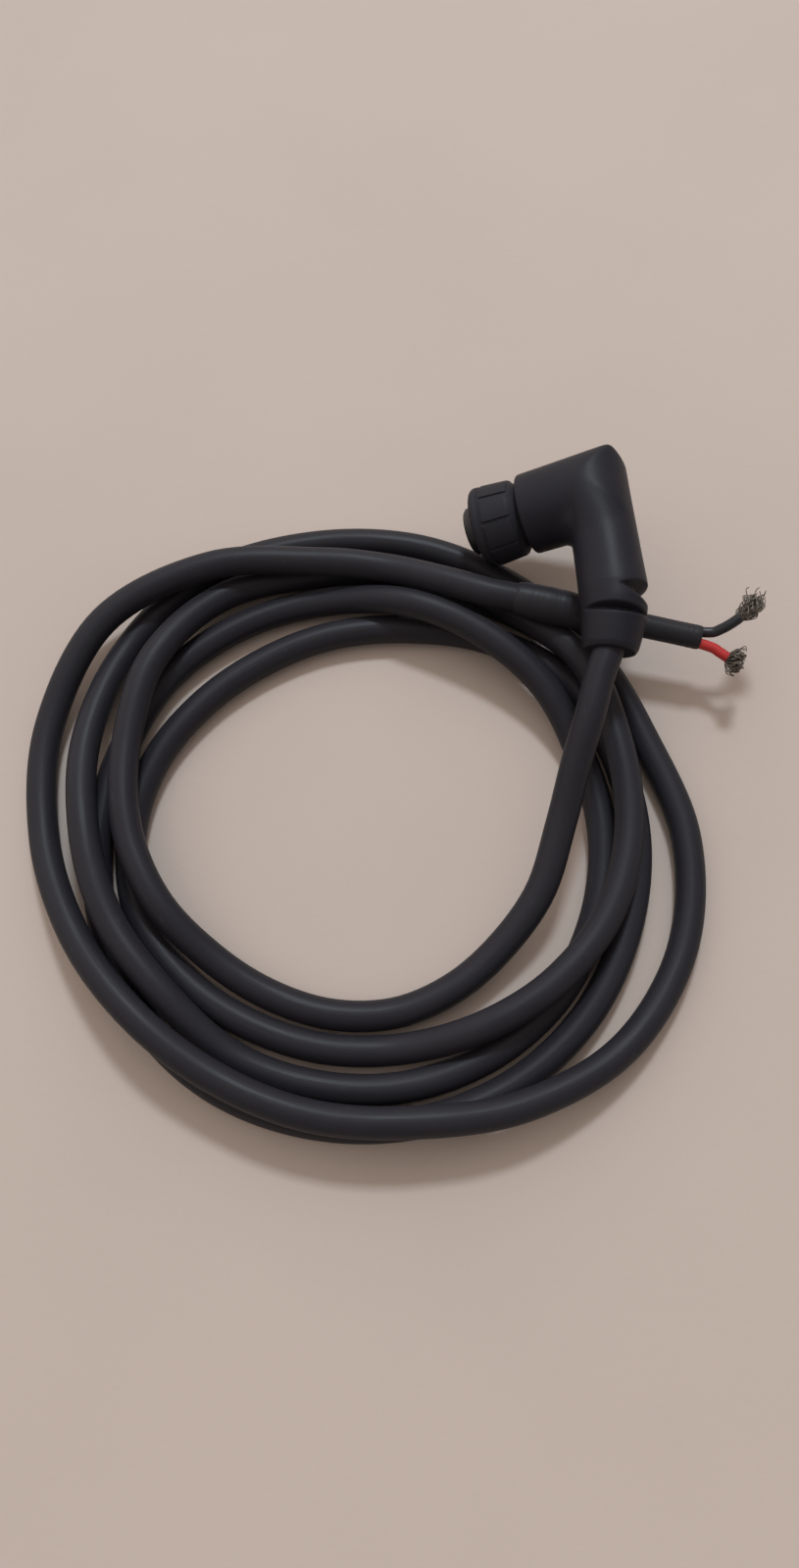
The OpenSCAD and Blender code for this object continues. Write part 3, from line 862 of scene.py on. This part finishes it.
    def throat(self, bm, arm_r, thin_r):
        """Fills the inner corner with a quarter of a ring, a little longer at both ends."""
        centre = Vector((-thin_r - self.throat_r, -arm_r - self.throat_r, 0))
        ring_r = thin_r + self.throat_r
        swing = 90 + 2 * self.throat_overlap
        rings = []
        for k in range(self.blend_steps + 1):
            a = math.radians(-self.throat_overlap + swing * k / self.blend_steps)
            out = Vector((math.cos(a), math.sin(a), 0))
            ring = []
            for t in around(self.blend_sides):
                up = Vector((0, 0, thin_r * math.sin(t)))
                ring.append(centre + out * (ring_r + thin_r * math.cos(t)) + up)
            rings.append(ring)
        add_skin(bm, rings)

    def slot(self, s, place, heading, side, back, front):
        """A ring of a valley, off the relief's axis, that cuts one side of the relief."""
        out = Vector((math.cos(side), 0, math.sin(side)))
        out = (out - out.dot(heading) * heading).normalized()
        width = out.cross(heading)
        root = s.slot_root + self.slot_shift
        reach = s.cable_arm + self.slot_past - s.slot_root
        widen = reach / (s.cable_arm - s.slot_root)
        profile = ((root, 0.0), (root + reach, front * widen), (root + reach, -back * widen))
        middle = place - out * self.slot_shift
        rings = []
        for angle in around(self.slot_sides):
            away = out * math.cos(angle) + width * math.sin(angle)
            rings.append([middle + away * r + heading * h for r, h in profile])
        bm = bmesh.new()
        add_skin(bm, rings, looped=True)
        return mesh_object("slot_cutter", bm)


class CABLE_OT_nut(bpy.types.Operator):
    """Model the coupling nut with its grip panels and inner thread."""

    bl_idname = "cable.nut"
    bl_label = "Coupling nut"

    play = 0.0004
    back = 0.0019
    back_slope = 0.0021
    front = 0.0012
    rim = 0.0024
    wall = 0.0011
    wall_sides = 120

    lip = 0.0013
    lip_r = 0.0077
    thread_from = 0.0032
    thread_pitch = 0.0015
    thread_depth = 0.00045
    thread_flank = 3.2
    thread_steps = 70

    # The panels stand out from the wall, with a gap to the rim and an angle between neighbours
    phase = math.radians(-9)
    panel_rise = 0.00038
    panel_root = 0.0007
    panel_gap = 0.00025
    panel_space = 0.026
    panel_edge = 0.0003
    panel_drop = 0.0005
    panel_rows = 14
    panel_columns = 24

    def execute(self, context):
        s = context.scene.cable
        stand = Matrix.Translation((0, 0, s.arm_len + self.play))
        to_nut = elbow_matrix() @ Matrix.Rotation(math.radians(-90), 4, "Y") @ stand
        shell = self.shell(s)
        shell.data.transform(to_nut)
        ring = {"Count": s.nut_panels, "Material": get_material("nut")}
        panels = through_nodes("nut_grips", self.panel(s), ring_group(), **ring)
        panels.data.transform(to_nut @ Matrix.Rotation(self.phase, 4, "Z"))
        finished(shell, "nut", "nut", "coupling_nut")
        finished(panels, "nut", "nut")
        return {"FINISHED"}

    def outside(self, s, station):
        """Radius of the nut's cone at a station."""
        cone_len = s.nut_len - self.back - self.front
        return s.nut_back + (s.nut - s.nut_back) * (station - self.back) / cone_len

    def thread(self, station, angle):
        """Height of the thread at a place on the nut's bore."""
        turn = (station / self.thread_pitch + angle / math.tau) % 1.0
        return self.thread_depth * max(0.0, 1 - abs(turn - 0.5) * self.thread_flank)

    def shell(self, s):
        """The nut's wall, with a thread cut round its inside."""
        end = s.nut_len
        rim_at = end - self.rim
        rim_r = self.outside(s, rim_at) - 0.00008
        rise = self.panel_rise
        outer = [
            (0.0, s.nut_back - self.back_slope),
            (self.back - 0.0001, s.nut_back - rise - 0.0001),
            (self.back + 0.0001, s.nut_back - rise),
            (rim_at, self.outside(s, rim_at) - rise),
            (rim_at + 0.0001, rim_r - 0.0001),
            (rim_at + 0.0003, rim_r),
            (end - 0.0010, rim_r + 0.00002),
            (end - 0.0006, rim_r - 0.00015),
            (end - 0.0002, rim_r - 0.0005),
            (end, rim_r - 0.0009),
        ]
        bore = s.nut_back - self.wall
        top = end - 0.0003
        thread_end = end - 0.0008
        steps = self.thread_steps
        inner = [(top - (top - self.lip) * k / steps, bore) for k in range(steps + 1)]
        inner += [(self.lip, self.lip_r), (0.0, self.lip_r)]
        rings = []
        for station, radius in outer + inner:
            threaded = radius == bore and self.thread_from < station < thread_end
            ring = []
            for angle in around(self.wall_sides):
                r = radius - self.thread(station, angle) if threaded else radius
                ring.append((r * math.cos(angle), r * math.sin(angle), station))
            rings.append(ring)
        bm = bmesh.new()
        add_skin(bm, rings, looped=True)
        obj = mesh_object("nut_shell", bm, get_material("nut"))
        obj.data.set_sharp_from_angle(angle=math.radians(38))
        return obj

    def panel(self, s):
        """One raised grip panel with soft edges, as an unlinked object."""
        start, stop = self.back, s.nut_len - self.rim - self.panel_gap
        half = math.pi / s.nut_panels - self.panel_space
        edge = self.panel_edge
        sharper_back = 0.00012
        rows, columns = self.panel_rows, self.panel_columns
        bm = bmesh.new()
        grid = []
        for i in range(columns + 1):
            angle = -half + 2 * half * i / columns
            row = []
            for j in range(rows + 1):
                station = start + (stop - start) * j / rows
                side = (half - abs(angle)) * s.nut
                inside = min(side, station - start + sharper_back, stop - station)
                drop = 0.0 if inside >= edge else self.panel_drop * (1 - inside / edge) ** 2
                r = self.outside(s, station) - drop
                row.append(bm.verts.new((r * math.cos(angle), r * math.sin(angle), station)))
            grid.append(row)
        for a, b in zip(grid, grid[1:]):
            for j in range(rows):
                bm.faces.new((a[j], a[j + 1], b[j + 1], b[j]))
        border = [e for e in bm.edges if e.is_boundary]
        made = bmesh.ops.extrude_edge_only(bm, edges=border)
        for v in (g for g in made["geom"] if isinstance(g, bmesh.types.BMVert)):
            out = Vector((v.co.x, v.co.y, 0))
            v.co -= out.normalized() * (out.length - s.nut_back + self.panel_root)
        bmesh.ops.holes_fill(bm, edges=[e for e in bm.edges if e.is_boundary], sides=0)
        bmesh.ops.recalc_face_normals(bm, faces=bm.faces[:])
        mesh = bpy.data.meshes.new("nut_panel")
        mesh.materials.append(get_material("nut"))
        bm.to_mesh(mesh)
        bm.free()
        mesh.shade_smooth()
        mesh.set_sharp_from_angle(angle=math.radians(50))
        return bpy.data.objects.new("nut_panel", mesh)


class CABLE_OT_far_end(bpy.types.Operator):
    """Model the boot, the sleeve and the two leads with their bare strands."""

    bl_idname = "cable.far_end"
    bl_label = "Far end"

    sleeve_spacing = 0.0004
    lead_steps = 10
    lead_sides = 20
    lead_spacing = 0.0006

    # Each lead: its colour, its side, its free points, where its strands point to, how much they splay,
    # the share of the way that they reach, and the seed of their curls
    leads = (
        ("red", -1, RED_BEYOND, RED_TIP, 0.00115, 0.68, 11),
        ("black", 1, BLACK_BEYOND, BLACK_TIP, 0.0009, 0.85, 23),
    )
    strand_steps = 20
    strand_sides = 6
    strand_spacing = 0.0004
    strays = 0.04
    most_curl = 0.0009

    # Share of a turn between neighbouring strands, the twist of them all, how far the tuft opens out
    # and how deep it starts inside the lead
    golden = 0.618
    twist = 3.0
    opening = 0.9
    tuck = 0.0006

    def execute(self, context):
        s = context.scene.cable
        self.sleeves(s)
        for name, side, beyond, tip, splay, share, seed in self.leads:
            path = smooth_path(lead_points(side * s.core_side, beyond), self.lead_steps)
            r = s.core / 2
            line = [(p, r) for p in path]
            line[-1] = (path[-1], r * 0.93)
            paint = get_material(name + "_insulation")
            lead = swept(name + "_insulation", [line], self.lead_sides, self.lead_spacing, paint)
            finished(lead, "cable", name + "_insulation", name + "_lead")
            end = path[-1].lerp(COIL_MIDDLE + Vector(tip), share)
            strands = self.strands(s, name, path, end, splay, seed)
            finished(strands, "cable", "tinned_wire", name + "_strands")
        return {"FINISHED"}

    def sleeves(self, s):
        """The shrunk boot over the jacket and the sleeve over the cores."""
        boot_shape = (
            (0.0, s.jacket / 2 + 0.0002),
            (0.0006, s.boot - 0.0005),
            (0.003, s.boot - 0.0002),
            (0.008, s.boot),
            (0.014, s.boot - 0.0001),
            (JACKET_END + 0.0015, s.boot - 0.0005),
            (JACKET_END + 0.0045, s.sleeve + 0.0007),
            (BOOT_END - 0.0015, s.sleeve + 0.0005),
            (BOOT_END - 0.0003, s.sleeve + 0.0004),
            (BOOT_END, s.sleeve),
        )
        sleeve_shape = (
            (JACKET_END + 0.002, s.sleeve - 0.0001),
            (BOOT_END, s.sleeve),
            (SLEEVE_END - 0.006, s.sleeve - 0.0001),
            (SLEEVE_END - 0.0005, s.sleeve - 0.00005),
            (SLEEVE_END, s.sleeve - 0.0002),
        )
        for node, shape, ripple, seed, sides in (
            ("end_boot", boot_shape, 0.00006, 5, 40),
            ("tail_sleeve", sleeve_shape, 0.00004, 9, 36),
        ):
            line = self.wrinkled(shape, ripple, seed)
            skin = swept(node + "_skin", [line], sides, self.sleeve_spacing, get_material("shrink"))
            finished(skin, "cable", "shrink", node)

    def wrinkled(self, shape, height, seed):
        """A line along the far end's axis whose radius follows shape, with small random ripples."""
        wave = random.Random(seed)
        ripples = []
        for _ in range(5):
            ripples.append((wave.uniform(600, 1900), wave.uniform(0, math.tau), wave.uniform(0.3, 1)))
        line = []
        for (s0, r0), (s1, r1) in zip(shape, shape[1:]):
            steps = max(1, round((s1 - s0) / self.sleeve_spacing))
            for k in range(steps):
                station = s0 + (s1 - s0) * k / steps
                ripple = sum(a * math.sin(f * station * 3 + t) for f, t, a in ripples) / 3
                line.append((on_tail(station), r0 + (r1 - r0) * k / steps + height * ripple))
        return [*line, (on_tail(shape[-1][0]), shape[-1][1])]

    def strands(self, s, name, path, tip, splay, seed):
        """Twisted strands that open out from the end of a lead into a curly tuft."""
        wild = random.Random(seed)
        start = path[-1]
        way = (path[-1] - path[-3]).normalized()
        aim = (tip - start).normalized()
        across = aim.cross(Vector((0, 0, 1))).normalized()
        up = across.cross(aim)
        span = (tip - start).length
        lines = []
        for k in range(s.strands):
            angle = math.tau * k * self.golden
            reach = (s.core / 2 - 0.0005) * math.sqrt((k + 0.5) / s.strands)
            drift = across * wild.gauss(0, splay) + up * wild.gauss(0, splay)
            stray = wild.random() < self.strays
            long = span * (wild.uniform(1.05, 1.3) if stray else wild.uniform(0.7, 1.05))
            curl = wild.uniform(0.3, 1) * self.most_curl
            beat, turn = wild.uniform(6, 12), wild.uniform(0, math.tau)
            line = []
            for step in range(self.strand_steps + 1):
                t = step / self.strand_steps
                turned = angle + self.twist * t
                round_core = (across * math.cos(turned) + up * math.sin(turned)) * reach
                round_core *= 1 + self.opening * t
                core = start - way * self.tuck + (way * (1 - t) + aim * t) * long * t
                bend = (across * math.sin(t * beat + turn) + up * math.cos(t * beat * 0.9 + turn)) * curl * t
                place = core + round_core + drift * math.sin(2.2 * t) + bend
                place.z = max(place.z, s.strand)
                line.append((place, s.strand / 2))
            lines.append(line)
        paint = get_material("tinned_wire")
        return swept(name + "_wires", lines, self.strand_sides, self.strand_spacing, paint)


class CABLE_OT_plug_face(bpy.types.Operator):
    """Paint the pieces of the plug's face and inside that keep the part's own shape."""

    bl_idname = "cable.plug_face"
    bl_label = "Plug face"

    def execute(self, context):
        for entry in frame["record"]["subparts"]:
            node = frame["nodes"][entry["node"]]
            if node.hide_render:
                continue
            node.data.materials.clear()
            node.data.materials.append(get_material(entry["material_slot"]))
        return {"FINISHED"}


class CABLE_OT_stage(bpy.types.Operator):
    """Lay the ground and set the light."""

    bl_idname = "cable.stage"
    bl_label = "Stage"

    ground_size = 3.0
    ground_gap = 0.00002
    lamp_size = (0.36, 0.28)
    lamp_power = 26.0
    lamp_colour = (0.763, 0.892, 1.0)
    lamp_from_coil = (0.10, 1.31, 1.89)
    room_colour = (1.0, 0.915, 0.846)
    brightest = (-0.45, 0.62, 0.64)
    dim = 0.31
    bright = 1.05

    def execute(self, context):
        bm = bmesh.new()
        bmesh.ops.create_grid(bm, x_segments=1, y_segments=1, size=self.ground_size)
        ground = mesh_object("ground", bm, get_material("paper"))
        ground.location.z = -self.ground_gap
        data = bpy.data.lights.new("window", "AREA")
        data.shape = "RECTANGLE"
        data.size, data.size_y = self.lamp_size
        data.energy = self.lamp_power
        data.color = self.lamp_colour
        lamp = bpy.data.objects.new("window", data)
        lamp.location = COIL_MIDDLE + Vector(self.lamp_from_coil)
        lamp.rotation_euler = (COIL_MIDDLE - lamp.location).to_track_quat("-Z", "Y").to_euler()
        context.collection.objects.link(lamp)
        world = bpy.data.worlds.new("room")
        world.use_nodes = True
        self.soft_light(world.node_tree)
        context.scene.world = world
        context.scene.view_settings.view_transform = "Standard"
        return {"FINISHED"}

    def soft_light(self, tree):
        """Warm light from all round, stronger from high up on one side."""
        g = Graph(tree)
        way = g.add("ShaderNodeTexCoord").outputs["Generated"]
        facing = g.add("ShaderNodeVectorMath", {0: way, 1: self.brightest}, operation="DOT_PRODUCT")
        limits = {"From Min": 0.1, "From Max": 1.0, "To Min": self.dim, "To Max": self.bright}
        limits["Value"] = facing.outputs["Value"]
        strength = g.add("ShaderNodeMapRange", limits, interpolation_type="SMOOTHSTEP")
        background = tree.nodes["Background"]
        background.inputs["Color"].default_value = (*self.room_colour, 1)
        tree.links.new(strength.outputs["Result"], background.inputs["Strength"])


class CABLE_OT_declare(bpy.types.Operator):
    bl_idname = "cable.declare"
    bl_label = "Declare cord"

    # How many of the path's first points are tried as the one at the relief's mouth
    tried = 60

    def execute(self, context):
        path = [Vector(p) for p in context.scene["cable_path"]]
        mouth = elbow_matrix() @ relief_frame(BEND_START + BEND_LEN)[0]
        first = min(range(self.tried), key=lambda i: (path[i] - mouth).length)
        return {"FINISHED"}


class CABLE_PT_panel(bpy.types.Panel):
    """Sidebar panel with the sizes and the building steps."""

    bl_label = "Instrument Cable"
    bl_idname = "CABLE_PT_panel"
    bl_space_type = "VIEW_3D"
    bl_region_type = "UI"
    bl_category = "Cable"

    def draw(self, context):
        column = self.layout.column()
        for name in CableSettings.__annotations__:
            column.prop(context.scene.cable, name)
        for step in STEPS:
            column.operator("cable." + step)


STEPS = ("camera", "jacket", "elbow", "nut", "far_end", "plug_face", "stage", "declare")
CLASSES = (
    CableSettings,
    CABLE_OT_camera,
    CABLE_OT_jacket,
    CABLE_OT_elbow,
    CABLE_OT_nut,
    CABLE_OT_far_end,
    CABLE_OT_plug_face,
    CABLE_OT_stage,
    CABLE_OT_declare,
    CABLE_PT_panel,
)


def register():
    """Adds the classes and the scene's settings."""
    for cls in CLASSES:
        bpy.utils.register_class(cls)
    bpy.types.Scene.cable = PointerProperty(type=CableSettings)


def unregister():
    """Removes them again."""
    del bpy.types.Scene.cable
    for cls in reversed(CLASSES):
        bpy.utils.unregister_class(cls)


def main():
    """Builds everything."""
    register()
    for step in STEPS:
        getattr(bpy.ops.cable, step)()


if __name__ == "__main__":
    main()
